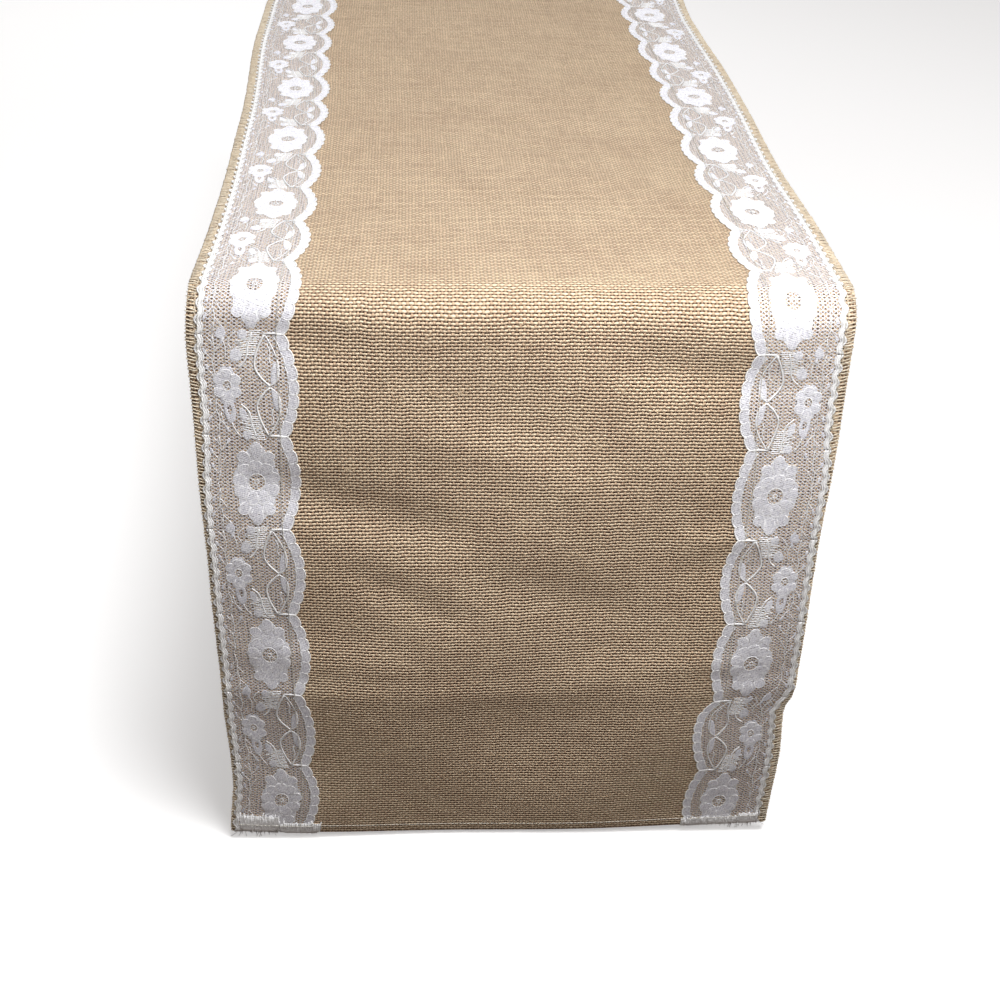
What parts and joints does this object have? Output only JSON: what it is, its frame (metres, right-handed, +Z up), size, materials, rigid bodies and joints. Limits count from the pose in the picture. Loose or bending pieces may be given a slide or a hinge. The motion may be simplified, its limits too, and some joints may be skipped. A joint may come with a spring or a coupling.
{
  "type": "table runner",
  "caption": "Long woven burlap table runner with scalloped floral lace along both sides, draped over a table top and hanging at both ends.",
  "frame": {"origin": "middle of the cloth's underside, on the table top", "axes": "+Z up from the table top, +Y along the runner away from the end that the viewer sees hanging, +X across it"},
  "size_m": [0.3562, 1.0946, 0.3807],
  "materials": {
    "burlap": "coarse plain weave of natural jute yarn, matt, with slubs and loose fibres",
    "lace": "white raschel lace: fine net with dense satin motifs",
    "edging_thread": "beige overlocking thread, matt",
    "sewing_thread": "off-white spun sewing thread, slight sheen"
  },
  "bodies": {
    "root": {"burlap_panel": "burlap", "lace_left": "lace", "lace_right": "lace", "overlock_left": "edging_thread", "overlock_right": "edging_thread", "lace_outer_seam_left_needle_thread": "sewing_thread", "lace_outer_seam_left_bobbin_thread": "sewing_thread", "lace_inner_seam_left_needle_thread": "sewing_thread", "lace_inner_seam_left_bobbin_thread": "sewing_thread", "lace_outer_seam_right_needle_thread": "sewing_thread", "lace_outer_seam_right_bobbin_thread": "sewing_thread", "lace_inner_seam_right_needle_thread": "sewing_thread", "lace_inner_seam_right_bobbin_thread": "sewing_thread", "hem_front_needle_thread": "sewing_thread", "hem_front_bobbin_thread": "sewing_thread", "hem_rear_needle_thread": "sewing_thread", "hem_rear_bobbin_thread": "sewing_thread"}
  },
  "joints": []
}
